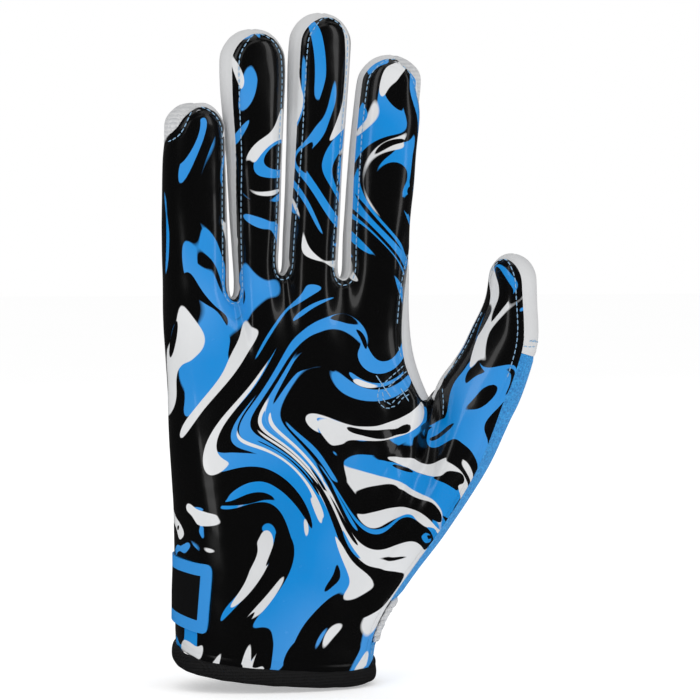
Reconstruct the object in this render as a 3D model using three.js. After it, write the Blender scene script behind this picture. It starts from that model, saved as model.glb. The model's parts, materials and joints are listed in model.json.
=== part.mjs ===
// A football receiver glove for the right hand, held up by its wrist opening with the fingers pointing up.
// Lengths are millimetres. +Z runs up the fingers, the palm faces -Y and the thumb lies at +X.
// One closed skin is worked out for the whole hand, then cut along its seams into thick panels.
import * as THREE from 'three';

// Hand sizes
const PALM_WIDTH = 90;
const PALM_LENGTH = 142;
const KNUCKLE_DEPTH = 25;
const THUMB_CROTCH_HEIGHT = 95;
const THUMB_SPREAD = 33;
const WRIST_WIDTH = 72;
const WRIST_DEPTH = 45;
const ORIGIN_FROM_LITTLE_SIDE = 40.5;

// Cuff sizes
const BINDING_HEIGHT = 5.6;
const BINDING_THICKNESS = 2.8;
const CUFF_SLANT = 6;
const CUFF_DIP = 8;
const CUFF_FABRIC_HEIGHT = 13.5;
const ELASTIC_HEIGHT = 14;
const ELASTIC_RIBS = 5;
const ELASTIC_RIB_DEPTH = 0.8;

// Digit sizes, from the crotch line to the tip, and across the widest part of the tip
const LITTLE_LENGTH = 68;
const RING_LENGTH = 90;
const MIDDLE_LENGTH = 92.5;
const INDEX_LENGTH = 78.5;
const THUMB_LENGTH = 54;
const LITTLE_TIP_WIDTH = 22.4;
const RING_TIP_WIDTH = 24;
const MIDDLE_TIP_WIDTH = 22.8;
const INDEX_TIP_WIDTH = 24;
const THUMB_TIP_WIDTH = 17.4;
const FINGER_BASE_DEPTH = 23;
const FINGER_TIP_DEPTH = 17.2;
const THUMB_TIP_DEPTH = 16.4;
const THUMB_BASE_WIDTH = 29;
const THUMB_BASE_DEPTH = 24;

// Walls, seams and label
const GRIP_WALL = 1.4;
const BACK_WALL = 1.2;
const STRIP_WALL = 1.1;
const SEAM_GAP = 0.4;
const LEAST_CORNER_SPREAD = 0.5;
const SLOT_GAP = 1.6;
const SLOT_DROP = 2.6;
const LABEL_WALL = 0.8;
const LABEL_CLEARANCE = 0.35;
const LABEL_HEIGHT = 24;
const LABEL_START_HEIGHT = 15.5;

// Shape of every section: a superellipse, sewn along its sides where it reaches this share of its half width
const ROUNDNESS = 2.35;
const SEAM_SHARE = 0.87;

// Grid counts
const FRONT_CELLS = 5;
const SIDE_CELLS = 2;
const BODY_ROWS = 7;
const THUMB_LEATHER_ROW = 3;
const CAP_ROWS = 4;
const KNUCKLE_ROWS = 6;
const HAND_ROWS = 8;
const CUFF_ROWS = 2;
const ELASTIC_ROWS_PER_RIB = 2;
const BINDING_STEPS = 48;
const BINDING_SIDES = 8;
const LABEL_ROWS = 4;
const LABEL_FRONT_CELLS = 2;

// Digits from the little finger to the thumb. waist is a share of the tip width. cap, curl and bow are
// shares of the length, and angles are in degrees.
const DIGITS = [
  { name: 'little', length: LITTLE_LENGTH, tipWidth: LITTLE_TIP_WIDTH, waist: 1.04, cap: 0.165,
    lean: -1.8, curl: 0.12, bow: 0, twistBase: -4, twistTip: 18 },
  { name: 'ring', length: RING_LENGTH, tipWidth: RING_TIP_WIDTH, waist: 0.78, cap: 0.13,
    lean: -1.5, curl: 0.06, bow: 0.004, twistBase: -6, twistTip: 16 },
  { name: 'middle', length: MIDDLE_LENGTH, tipWidth: MIDDLE_TIP_WIDTH, waist: 0.86, cap: 0.123,
    lean: 2.1, curl: 0.05, bow: 0, twistBase: -6, twistTip: 15 },
  { name: 'index', length: INDEX_LENGTH, tipWidth: INDEX_TIP_WIDTH, waist: 1.0, cap: 0.15,
    lean: 4.5, curl: 0.04, bow: -0.01, twistBase: -2, twistTip: -11 },
  { name: 'thumb', length: THUMB_LENGTH, tipWidth: THUMB_TIP_WIDTH, waist: 1.47, cap: 0.2,
    lean: 12, curl: 0.1, bow: 0.1, twistBase: -36, twistTip: -48 },
];
const WAIST_AT = 0.45;

// How quickly the form of the finger bases and of the thumb crotch fades into the plain sections below
const KNUCKLE_FADE = 2.2;
const CROTCH_FADE = 2.5;

// Slots between neighbouring digits: place across and height, as shares of the palm's width and length
const SLOTS = [
  { across: 0.281, height: 0.925 },
  { across: 0.472, height: 0.985 },
  { across: 0.713, height: 0.975 },
];
const LITTLE_SIDE_HEIGHT = 0.94;
const INDEX_SIDE_HEIGHT = 0.985;

// Sections of the hand above the thumb crotch. level is a share of the palm length. left and right are shares
// of the palm width from the little finger's side. front and back are shares of the knuckle depth.
const PALM_SECTIONS = [
  { level: 0.669, left: 0.02, right: 1.092, front: 0.62, back: 0.54 },
  { level: 0.745, left: 0.014, right: 1.03, front: 0.58, back: 0.52 },
  { level: 0.84, left: 0.006, right: 1.002, front: 0.53, back: 0.49 },
  { level: 1.0, left: 0.0, right: 1.0, front: 0.48, back: 0.47 },
];

// Sections below the thumb crotch. level is a share of the crotch height. left and right blend from the wrist
// to the span of the hand with its thumb, and depth blends from the wrist's to the knuckles'.
const HAND_SECTIONS = [
  { level: 0.0, left: 0.0, right: 0.0, depth: 0.0 },
  { level: 0.15, left: 0.02, right: 0.055, depth: 0.04 },
  { level: 0.3, left: 0.05, right: 0.22, depth: 0.12 },
  { level: 0.45, left: 0.1, right: 0.43, depth: 0.27 },
  { level: 0.6, left: 0.3, right: 0.63, depth: 0.45 },
  { level: 0.75, left: 0.62, right: 0.8, depth: 0.62 },
  { level: 0.88, left: 0.85, right: 0.91, depth: 0.82 },
  { level: 1.0, left: 1.0, right: 1.0, depth: 1.0 },
];

// Pads, hollows and folds of the palm side. x places the middle as a share of the palm width from the little
// finger's side, and z as a share of the palm length. along and across are half lengths and rise is a
// height, all as shares of the palm width. turn is in degrees from upright, toward the thumb.
const RELIEF = [
  { name: 'thumb ball', x: 0.98, z: 0.46, along: 0.3, across: 0.2, rise: 0.055, turn: 34 },
  { name: 'little finger ball', x: 0.16, z: 0.34, along: 0.33, across: 0.2, rise: 0.03, turn: 0 },
  { name: 'palm hollow', x: 0.52, z: 0.55, along: 0.32, across: 0.2, rise: -0.045, turn: 12 },
  { name: 'crotch fold', x: 0.97, z: 0.62, along: 0.13, across: 0.036, rise: 0.03, turn: -8 },
  { name: 'long fold', x: 0.86, z: 0.53, along: 0.2, across: 0.04, rise: 0.028, turn: -14 },
  { name: 'palm fold', x: 0.74, z: 0.6, along: 0.15, across: 0.042, rise: 0.02, turn: -30 },
  { name: 'thumb fold', x: 1.12, z: 0.58, along: 0.14, across: 0.045, rise: 0.02, turn: 22 },
  { name: 'wrist fold', x: 0.62, z: 0.2, along: 0.2, across: 0.05, rise: 0.016, turn: 10 },
];

// Creases across the palm side of each digit, at shares of its length, as a share of the tip width
const CREASES = [
  { at: 0.3, spread: 0.05, depth: 0.03 },
  { at: 0.62, spread: 0.05, depth: 0.035 },
];

const COLOURS = {
  grip: { color: 0x2b97eb, roughness: 0.2, metalness: 0 },
  white: { color: 0xe4e4e6, roughness: 0.7, metalness: 0 },
  stretch: { color: 0x4aa3ea, roughness: 0.8, metalness: 0 },
  binding: { color: 0x0b0b0d, roughness: 0.75, metalness: 0 },
};

const radians = THREE.MathUtils.degToRad;
const mix = THREE.MathUtils.lerp;
const smooth = (share) => THREE.MathUtils.smoothstep(share, 0, 1);
const THUMB = DIGITS.length - 1;
const SEAM_ANGLE = Math.acos(SEAM_SHARE ** (ROUNDNESS / 2));
const FABRIC_START = BINDING_HEIGHT + SEAM_GAP;
const ELASTIC_START = FABRIC_START + CUFF_FABRIC_HEIGHT - BINDING_HEIGHT;
const ELASTIC_END = ELASTIC_START + ELASTIC_HEIGHT;

function vector(x, y, z) {
  return new THREE.Vector3(x, y, z);
}

// Height of the superellipse over its long axis, at a share of the half width
function dome(share) {
  return Math.max(0, 1 - Math.abs(share) ** ROUNDNESS) ** (1 / ROUNDNESS);
}

function signedPower(value) {
  return Math.sign(value) * Math.abs(value) ** (2 / ROUNDNESS);
}

// Values of a table at a level between two of its rows, eased so that no row shows as a corner
function sampleTable(table, level) {
  const last = table.length - 1;
  let upper = table.findIndex((row) => row.level >= level);
  upper = upper < 0 ? last : Math.max(1, upper);
  const low = table[upper - 1];
  const high = table[upper];
  const before = table[Math.max(0, upper - 2)];
  const after = table[Math.min(last, upper + 1)];
  const step = high.level - low.level;
  const share = THREE.MathUtils.clamp((level - low.level) / step, 0, 1);
  const values = {};
  for (const key of Object.keys(low)) {
    const slopeLow = ((high[key] - before[key]) / (high.level - before.level)) * step;
    const slopeHigh = ((after[key] - low[key]) / (after.level - low.level)) * step;
    values[key] = (2 * share ** 3 - 3 * share ** 2 + 1) * low[key]
      + (share ** 3 - 2 * share ** 2 + share) * slopeLow
      + (3 * share ** 2 - 2 * share ** 3) * high[key]
      + (share ** 3 - share ** 2) * slopeHigh;
  }
  return values;
}

function acrossPalm(share) {
  return share * PALM_WIDTH - ORIGIN_FROM_LITTLE_SIDE;
}

// Section of the hand above the thumb crotch, without the thumb
function palmSection(height) {
  const row = sampleTable(PALM_SECTIONS, height / PALM_LENGTH);
  return {
    left: acrossPalm(row.left),
    right: acrossPalm(row.right),
    front: row.front * KNUCKLE_DEPTH,
    back: row.back * KNUCKLE_DEPTH,
  };
}

// Section of the hand below the thumb crotch, with the root of the thumb
function handSection(height) {
  const row = sampleTable(HAND_SECTIONS, height / THUMB_CROTCH_HEIGHT);
  const top = palmSection(THUMB_CROTCH_HEIGHT);
  return {
    left: mix(-WRIST_WIDTH / 2, top.left, row.left),
    right: mix(WRIST_WIDTH / 2, top.right + THUMB_SPREAD, row.right),
    front: mix(WRIST_DEPTH / 2, top.front, row.depth),
    back: mix(WRIST_DEPTH / 2, top.back, row.depth),
  };
}

// A point of a section: on the front or back by its share across between the seams, or on a side by its angle
function facePoint(section, height, share, face) {
  const half = (section.right - section.left) / 2;
  const across = share * SEAM_SHARE;
  const depth = face < 0 ? section.front : section.back;
  return vector((section.right + section.left) / 2 + across * half, face * depth * dome(across), height);
}

function sidePoint(section, height, angle, side) {
  const half = (section.right - section.left) / 2;
  const depth = angle < 0 ? section.front : section.back;
  const x = (section.right + section.left) / 2 + side * half * Math.cos(angle) ** (2 / ROUNDNESS);
  return vector(x, depth * signedPower(Math.sin(angle)), height);
}

function steps(count) {
  return Array.from({ length: count + 1 }, (_, i) => i / count);
}

const SHARES = steps(FRONT_CELLS);
const SIDE_ANGLES = steps(SIDE_CELLS).map((share) => mix(-SEAM_ANGLE, SEAM_ANGLE, share));

// Bases of the digits, from the slots on their two sides
function digitBases() {
  const edges = [0, ...SLOTS.map((slot) => slot.across), 1];
  const heights = [LITTLE_SIDE_HEIGHT, ...SLOTS.map((slot) => slot.height), INDEX_SIDE_HEIGHT];
  const bases = DIGITS.slice(0, THUMB).map((_, i) => ({
    x: acrossPalm((edges[i] + edges[i + 1]) / 2),
    z: ((heights[i] + heights[i + 1]) / 2) * PALM_LENGTH,
    halfWidth: ((edges[i + 1] - edges[i]) * PALM_WIDTH - SLOT_GAP) / 2,
    halfDepth: FINGER_BASE_DEPTH / 2,
    tipDepth: FINGER_TIP_DEPTH,
    leftHeight: heights[i] * PALM_LENGTH + (i > 0 ? SLOT_DROP : 0),
    rightHeight: heights[i + 1] * PALM_LENGTH + (i < SLOTS.length ? SLOT_DROP : 0),
  }));
  const palmSide = palmSection(THUMB_CROTCH_HEIGHT).right;
  bases.push({
    x: palmSide + SLOT_GAP + THUMB_BASE_WIDTH / 2,
    z: THUMB_CROTCH_HEIGHT,
    halfWidth: THUMB_BASE_WIDTH / 2,
    halfDepth: THUMB_BASE_DEPTH / 2,
    tipDepth: THUMB_TIP_DEPTH,
    leftHeight: THUMB_CROTCH_HEIGHT,
    rightHeight: THUMB_CROTCH_HEIGHT,
  });
  return bases;
}

const BASES = digitBases();

// Place and directions of a digit's section at a distance along it from its base
function digitFrame(digit, base, distance) {
  const share = distance / digit.length;
  const lean = radians(digit.lean);
  const along = vector(Math.sin(lean), 0, Math.cos(lean));
  const across = vector(Math.cos(lean), 0, -Math.sin(lean));
  const curlSlope = -2 * digit.curl * share;
  const bowSlope = 4 * digit.bow * (1 - 2 * share);
  const origin = vector(base.x, 0, base.z)
    .addScaledVector(along, distance)
    .addScaledVector(across, 4 * digit.bow * digit.length * share * (1 - share))
    .add(vector(0, -digit.curl * digit.length * share ** 2, 0));
  const tangent = along.clone().addScaledVector(across, bowSlope).add(vector(0, curlSlope, 0)).normalize();
  const width = across.clone().addScaledVector(tangent, -across.dot(tangent)).normalize();
  const twist = mix(digit.twistBase, digit.twistTip, smooth(share));
  width.applyAxisAngle(tangent, radians(twist));
  const depth = tangent.clone().cross(width);
  return { origin, tangent, width, depth };
}

// Half width and half depth of a digit at a distance along it
function digitSize(digit, base, distance) {
  const share = THREE.MathUtils.clamp(distance / (digit.length * (1 - digit.cap)), 0, 1);
  const tip = digit.tipWidth / 2;
  const waist = tip * digit.waist;
  const halfWidth = share < WAIST_AT
    ? mix(base.halfWidth, waist, smooth(share / WAIST_AT))
    : mix(waist, tip, smooth((share - WAIST_AT) / (1 - WAIST_AT)));
  return { halfWidth, halfDepth: mix(base.halfDepth, base.tipDepth / 2, smooth(share)) };
}

function placed(frame, u, v, rise) {
  return frame.origin.clone()
    .addScaledVector(frame.width, u)
    .addScaledVector(frame.depth, v)
    .addScaledVector(frame.tangent, rise);
}

// Distance along a digit where its section's side, at a share across, lies at a height
function baseDistance(digit, base, share) {
  const height = mix(base.leftHeight, base.rightHeight, (share + 1) / 2);
  const lean = radians(digit.lean);
  return (height - base.z + share * base.halfWidth * Math.sin(lean)) / Math.cos(lean);
}

// The four strips of one row round a digit: front left to right, right side, back right to left, left side
function bodyRow(digit, base, row) {
  const end = digit.length * (1 - digit.cap);
  const at = (share) => mix(baseDistance(digit, base, share), end, row / BODY_ROWS);
  const face = (share, sign) => {
    const across = mix(-1, 1, share);
    const distance = at(across);
    const size = digitSize(digit, base, distance);
    const u = across * SEAM_SHARE;
    return placed(digitFrame(digit, base, distance), u * size.halfWidth, sign * size.halfDepth * dome(u), 0);
  };
  const side = (angle, sign) => {
    const distance = at(sign);
    const size = digitSize(digit, base, distance);
    const u = sign * size.halfWidth * Math.cos(angle) ** (2 / ROUNDNESS);
    return placed(digitFrame(digit, base, distance), u, size.halfDepth * signedPower(Math.sin(angle)), 0);
  };
  return rowStrips(face, side);
}

function capRow(digit, base, row) {
  const turn = (row / CAP_ROWS) * (Math.PI / 2);
  const capLength = digit.length * digit.cap;
  const start = digit.length - capLength;
  const frame = digitFrame(digit, base, start);
  const size = digitSize(digit, base, start);
  const face = (share, sign) => {
    const u = mix(-1, 1, share) * SEAM_SHARE * Math.cos(turn);
    const rise = SEAM_SHARE * Math.sin(turn);
    const reach = Math.hypot(u, rise);
    return placed(frame, u * size.halfWidth, sign * size.halfDepth * dome(reach), rise * capLength);
  };
  const side = (angle, sign) => {
    const reach = Math.cos(angle) ** (2 / ROUNDNESS);
    const u = sign * reach * Math.cos(turn) * size.halfWidth;
    const v = size.halfDepth * signedPower(Math.sin(angle));
    return placed(frame, u, v, reach * Math.sin(turn) * capLength);
  };
  return rowStrips(face, side);
}

function rowStrips(face, side) {
  return {
    front: SHARES.map((share) => face(share, -1)),
    right: SIDE_ANGLES.map((angle) => side(angle, 1)),
    back: SHARES.map((share) => face(1 - share, 1)),
    left: SIDE_ANGLES.map((angle) => side(-angle, -1)),
  };
}

// Middle line of the web at the bottom of a slot, from the palm side to the back
function webLine(rightSide, leftSide, drop) {
  return rightSide.map((point, i) => {
    const opposite = leftSide[leftSide.length - 1 - i];
    return point.clone().add(opposite).multiplyScalar(0.5).add(vector(0, 0, -drop));
  });
}

// A ring of points round the hand, kept as its four strips
function joinFingerBases(rows, webs) {
  const front = [];
  const back = [];
  rows.forEach((row, i) => {
    front.push(...row.front);
    if (i < webs.length) front.push(webs[i][0]);
  });
  for (let i = rows.length - 1; i >= 0; i -= 1) {
    back.push(...rows[i].back);
    if (i > 0) back.push(webs[i - 1].at(-1));
  }
  return { front, right: rows.at(-1).right, back, left: rows[0].left };
}

// Places of the points of a strip along it, from -1 at its first point to 1 at its last
function sharesAlong(points) {
  const first = points[0].x;
  const last = points.at(-1).x;
  return points.map((point) => mix(-1, 1, (point.x - first) / (last - first)));
}

// A row between the ring above and the plain sections below: it follows the ring less the lower it lies
function blendedRow(ring, section, lowest, share, fade) {
  const hold = share ** fade;
  const settle = (points, plain) => points.map((point, i) => {
    const height = mix(lowest(plain(0, i)), point.z, share);
    const drift = point.clone().sub(plain(point.z, i)).multiplyScalar(hold);
    return plain(height, i).add(drift);
  });
  const frontShares = sharesAlong(ring.front);
  const backShares = sharesAlong(ring.back).map((value) => -value);
  return {
    front: settle(ring.front, (height, i) => facePoint(section(height), height, frontShares[i], -1)),
    right: settle(ring.right, (height, i) => sidePoint(section(height), height, SIDE_ANGLES[i], 1)),
    back: settle(ring.back, (height, i) => facePoint(section(height), height, backShares[i], 1)),
    left: settle(ring.left, (height, i) => sidePoint(section(height), height, -SIDE_ANGLES[i], -1)),
  };
}

// Height of the slanted rim of the wrist opening under a point
function rimHeight(point) {
  return -CUFF_SLANT * (point.x / WRIST_WIDTH) + CUFF_DIP * (point.y / WRIST_DEPTH);
}

// Skin: shared points, and four-sided cells that each belong to a panel
class Skin {
  constructor() {
    this.points = [];
    this.cells = [];
    this.index = new Map();
  }

  pointNumber(point) {
    const key = point.toArray().map((value) => Math.round(value * 1000)).join(' ');
    if (!this.index.has(key)) {
      this.index.set(key, this.points.length);
      this.points.push(point.clone());
    }
    return this.index.get(key);
  }

  addGrid(rows, panelOf) {
    for (let i = 0; i + 1 < rows.length; i += 1) {
      for (let j = 0; j + 1 < rows[i].length; j += 1) {
        const corners = [rows[i][j], rows[i][j + 1], rows[i + 1][j + 1], rows[i + 1][j]];
        const loop = corners.map((point) => this.pointNumber(point));
        const kept = loop.filter((number, k) => number !== loop[(k + 1) % loop.length]);
        if (kept.length > 2) this.cells.push({ loop: kept, panel: panelOf(i, j) });
      }
    }
  }

  normals() {
    const normals = this.points.map(() => vector(0, 0, 0));
    for (const cell of this.cells) {
      const across = cellNormal(this.points, cell.loop);
      cell.loop.forEach((number) => normals[number].add(across));
    }
    return normals.map((normal) => normal.normalize());
  }
}

// Normal of a cell with three or four corners, as long as twice its area
function cellNormal(points, loop) {
  const [a, b, c, d] = loop.map((number) => points[number]);
  const second = d ?? a;
  return c.clone().sub(a).cross(second.clone().sub(b));
}

// Rise of the pads, hollows and folds at a point of the palm side
function reliefAt(point) {
  return RELIEF.reduce((sum, bump) => {
    const x = point.x - acrossPalm(bump.x);
    const z = point.z - bump.z * PALM_LENGTH;
    const turn = radians(bump.turn);
    const along = (x * Math.sin(turn) + z * Math.cos(turn)) / (bump.along * PALM_WIDTH);
    const across = (x * Math.cos(turn) - z * Math.sin(turn)) / (bump.across * PALM_WIDTH);
    return sum + bump.rise * PALM_WIDTH * Math.exp(-(along ** 2) - across ** 2);
  }, 0);
}

function creaseDepth(digit, share) {
  return CREASES.reduce((sum, crease) => {
    const away = (share - crease.at) / crease.spread;
    return sum + crease.depth * digit.tipWidth * Math.exp(-(away ** 2));
  }, 0);
}

// How much of a crease reaches a point of a row: all of it in the middle, and none of it at the seams
function creaseReach(index, count) {
  return Math.sqrt(Math.sin((index / (count - 1)) * Math.PI));
}

// The rings of the digits, the webs between them and the rings of the hand
const digitRows = DIGITS.map((digit, number) => {
  const base = BASES[number];
  const body = steps(BODY_ROWS).map((share) => bodyRow(digit, base, share * BODY_ROWS));
  const cap = steps(CAP_ROWS).slice(1).map((share) => capRow(digit, base, share * CAP_ROWS));
  const rows = [...body, ...cap];
  return rows.map((row, i) => {
    if (i === 0) return row;
    const share = i / rows.length;
    const frame = digitFrame(digit, base, share * digit.length);
    const dent = creaseDepth(digit, share);
    const front = row.front.map((point, k) => {
      return point.clone().addScaledVector(frame.depth, dent * creaseReach(k, row.front.length));
    });
    return { ...row, front };
  });
});
const fingerRows = digitRows.slice(0, THUMB);
const webs = SLOTS.map((_, i) => webLine(fingerRows[i][0].right, fingerRows[i + 1][0].left, SLOT_DROP));
const knuckleRing = joinFingerBases(fingerRows.map((rows) => rows[0]), webs);
const palmRow = (share) => {
  const row = blendedRow(knuckleRing, palmSection, () => THUMB_CROTCH_HEIGHT, share, KNUCKLE_FADE);
  return share < 1 ? row : knuckleRing;
};
const palmRows = steps(KNUCKLE_ROWS).map(palmRow);
const thumbRow = digitRows[THUMB][0];
const thumbWeb = webLine(palmRows[0].right, thumbRow.left, SLOT_DROP);
const crotchRing = joinFingerBases([palmRows[0], thumbRow], [thumbWeb]);
// Row of the hand at a height over the slanted rim
function handRow(height) {
  const share = (height - FABRIC_START) / (THUMB_CROTCH_HEIGHT - FABRIC_START);
  const lowest = (point) => rimHeight(point) + FABRIC_START;
  return share < 1 ? blendedRow(crotchRing, handSection, lowest, share, CROTCH_FADE) : crotchRing;
}

const handHeights = [
  ...steps(CUFF_ROWS).map((share) => mix(FABRIC_START, ELASTIC_START, share)),
  ...steps(CUFF_ROWS).slice(1).map((share) => mix(ELASTIC_START, ELASTIC_END, share)),
  ...steps(HAND_ROWS).slice(1).map((share) => mix(ELASTIC_END, THUMB_CROTCH_HEIGHT, share)),
];
const handRows = handHeights.map(handRow);

// Strips between neighbouring digits, from the little finger's side
const FOURCHETTES = [
  'fourchette_little_ring',
  'fourchette_ring_middle',
  'fourchette_middle_index',
  'fourchette_index_thumb',
];

// Panel of a cell on the index finger's outer side: the palm sheet wraps round it above a slanting seam
function indexSidePanel(i, j) {
  if (i >= BODY_ROWS) return 'back_panel';
  return j < i ? 'palm_panel' : 'fourchette_index_thumb';
}

function addDigit(skin, number) {
  const rows = digitRows[number];
  const isThumb = number === THUMB;
  const thumbPart = (i, low) => (i < THUMB_LEATHER_ROW ? low : 'thumb_back');
  skin.addGrid(rows.map((row) => row.front), () => 'palm_panel');
  skin.addGrid(rows.map((row) => row.back), (i) => (isThumb ? thumbPart(i, 'back_panel') : 'back_panel'));
  skin.addGrid(rows.map((row) => row.right), (i, j) => {
    if (isThumb) return thumbPart(i, 'thumb_side_strip');
    return number === THUMB - 1 ? indexSidePanel(i, j) : FOURCHETTES[number];
  });
  skin.addGrid(rows.map((row) => row.left), (i) => {
    if (number > 0) return FOURCHETTES[number - 1];
    return i < BODY_ROWS ? 'palm_panel' : 'back_panel';
  });
}

function addWeb(skin, rightSide, middle, leftSide, panel) {
  const backward = (line) => [...line].reverse();
  skin.addGrid([backward(rightSide), backward(middle), leftSide], () => panel);
}

function buildSkin() {
  const skin = new Skin();
  DIGITS.forEach((_, number) => addDigit(skin, number));
  webs.forEach((web, i) => {
    addWeb(skin, fingerRows[i][0].right, web, fingerRows[i + 1][0].left, FOURCHETTES[i]);
  });
  addWeb(skin, palmRows[0].right, thumbWeb, thumbRow.left, FOURCHETTES.at(-1));
  skin.addGrid(palmRows.map((row) => row.front), () => 'palm_panel');
  skin.addGrid(palmRows.map((row) => row.left), () => 'palm_panel');
  skin.addGrid(palmRows.map((row) => row.right), () => FOURCHETTES.at(-1));
  skin.addGrid(palmRows.map((row) => row.back), () => 'back_panel');
  const lowPart = (i, high) => {
    if (i < CUFF_ROWS) return 'cuff_back';
    return i < 2 * CUFF_ROWS ? 'elastic_ground' : high;
  };
  skin.addGrid(handRows.map((row) => row.front), () => 'palm_panel');
  skin.addGrid(handRows.map((row) => row.left), () => 'palm_panel');
  skin.addGrid(handRows.map((row) => row.right), (i) => lowPart(i, 'thumb_side_strip'));
  skin.addGrid(handRows.map((row) => row.back), (i) => lowPart(i, 'back_panel'));
  return skin;
}

// Raises the palm side of the whole skin, so that neighbouring panels stay joined along their seams
function applyRelief(skin) {
  const normals = skin.normals();
  skin.points.forEach((point, i) => {
    const facing = Math.max(0, -normals[i].y) ** 2;
    point.y -= reliefAt(point) * facing;
  });
}

// A panel cut from the skin: its edge drawn back from the seams, and given its wall on the inner side
function panelGeometry(points, normals, loops, wall) {
  const edges = new Map();
  for (const loop of loops) {
    loop.forEach((from, k) => {
      const to = loop[(k + 1) % loop.length];
      edges.set(`${from} ${to}`, { from, to, loop });
    });
  }
  const rim = [...edges.values()].filter((edge) => !edges.has(`${edge.to} ${edge.from}`));
  const pull = new Map();
  for (const edge of rim) {
    const along = points[edge.to].clone().sub(points[edge.from]).normalize();
    const inward = cellNormal(points, edge.loop).normalize().cross(along).normalize();
    for (const number of [edge.from, edge.to]) {
      if (!pull.has(number)) pull.set(number, []);
      pull.get(number).push(inward);
    }
  }
  const outer = new Map();
  const used = new Set(loops.flat());
  for (const number of used) {
    const point = points[number].clone();
    if (pull.has(number)) {
      const directions = pull.get(number);
      const sum = directions.reduce((total, direction) => total.add(direction), vector(0, 0, 0));
      const spread = Math.max(LEAST_CORNER_SPREAD, sum.length() / directions.length);
      point.addScaledVector(sum.normalize(), (SEAM_GAP / 2) / spread);
    }
    outer.set(number, point);
  }
  const inner = new Map([...used].map((number) => {
    return [number, outer.get(number).clone().addScaledVector(normals[number], -wall)];
  }));
  const triangles = [];
  const quad = (a, b, c, d) => triangles.push([a, b, c], [a, c, d]);
  for (const loop of loops) {
    const top = loop.map((number) => outer.get(number));
    const under = loop.map((number) => inner.get(number));
    for (let k = 1; k + 1 < loop.length; k += 1) {
      triangles.push([top[0], top[k], top[k + 1]], [under[0], under[k + 1], under[k]]);
    }
  }
  for (const { from, to } of rim) quad(outer.get(to), outer.get(from), inner.get(from), inner.get(to));
  return triangleGeometry(triangles);
}

function triangleGeometry(triangles) {
  const geometry = new THREE.BufferGeometry();
  const places = triangles.flat().flatMap((point) => point.toArray());
  geometry.setAttribute('position', new THREE.Float32BufferAttribute(places, 3));
  geometry.computeVertexNormals();
  return geometry;
}

// Shirred elastic: a patch over the back of the wrist with ribs that run round it
function elasticGeometry() {
  const rowCount = ELASTIC_RIBS * ELASTIC_ROWS_PER_RIB;
  const skin = new Skin();
  const rows = steps(rowCount).map((share) => {
    const row = handRow(mix(ELASTIC_START, ELASTIC_END, share));
    return [...row.right, ...row.back.slice(1)];
  });
  skin.addGrid(rows, () => 'wrist_elastic');
  const normals = skin.normals();
  const raised = new Map();
  rows.forEach((row, i) => row.forEach((point) => {
    const rib = i % ELASTIC_ROWS_PER_RIB === 0 ? 0 : 1;
    raised.set(skin.pointNumber(point), rib * ELASTIC_RIB_DEPTH);
  }));
  const points = skin.points.map((point, i) => point.clone().addScaledVector(normals[i], raised.get(i)));
  return panelGeometry(points, normals, skin.cells.map((cell) => cell.loop), STRIP_WALL);
}

// Binding: a rounded band that follows the slanted rim of the opening
function bindingGeometry() {
  const skin = new Skin();
  const loopPoints = steps(BINDING_STEPS).map((turnShare) => {
    const turn = turnShare * 2 * Math.PI;
    const section = handSection(0);
    const outward = vector(Math.cos(turn) / section.right, Math.sin(turn) / section.front, 0).normalize();
    const middle = sidePoint(section, 0, Math.asin(Math.sin(turn)), Math.sign(Math.cos(turn)) || 1);
    middle.addScaledVector(outward, -GRIP_WALL / 2);
    middle.z = rimHeight(middle) + BINDING_HEIGHT / 2;
    return steps(BINDING_SIDES).map((sideShare) => {
      const angle = -sideShare * 2 * Math.PI;
      return middle.clone()
        .addScaledVector(outward, (BINDING_THICKNESS / 2) * signedPower(Math.cos(angle)))
        .add(vector(0, 0, (BINDING_HEIGHT / 2) * signedPower(Math.sin(angle))));
    });
  });
  skin.addGrid(loopPoints, () => 'cuff_binding');
  const triangles = skin.cells.flatMap(({ loop }) => {
    const corners = loop.map((number) => skin.points[number]);
    return corners.slice(2).map((_, k) => [corners[0], corners[k + 1], corners[k + 2]]);
  });
  return triangleGeometry(triangles);
}

// Label: a bare patch sewn round the little finger's edge of the wrist
function labelGeometry() {
  const skin = new Skin();
  const rows = steps(LABEL_ROWS).map((share) => {
    const row = handRow(LABEL_START_HEIGHT + share * LABEL_HEIGHT);
    return [...row.left, ...row.front.slice(1, LABEL_FRONT_CELLS + 1)];
  });
  skin.addGrid(rows, () => 'wrist_label');
  applyRelief(skin);
  const normals = skin.normals();
  const rise = LABEL_CLEARANCE + LABEL_WALL;
  const points = skin.points.map((point, i) => point.clone().addScaledVector(normals[i], rise));
  return panelGeometry(points, normals, skin.cells.map((cell) => cell.loop), LABEL_WALL);
}

function mesh(name, geometry, colour) {
  const made = new THREE.Mesh(geometry, new THREE.MeshStandardMaterial(colour));
  made.name = name;
  return made;
}

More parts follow.
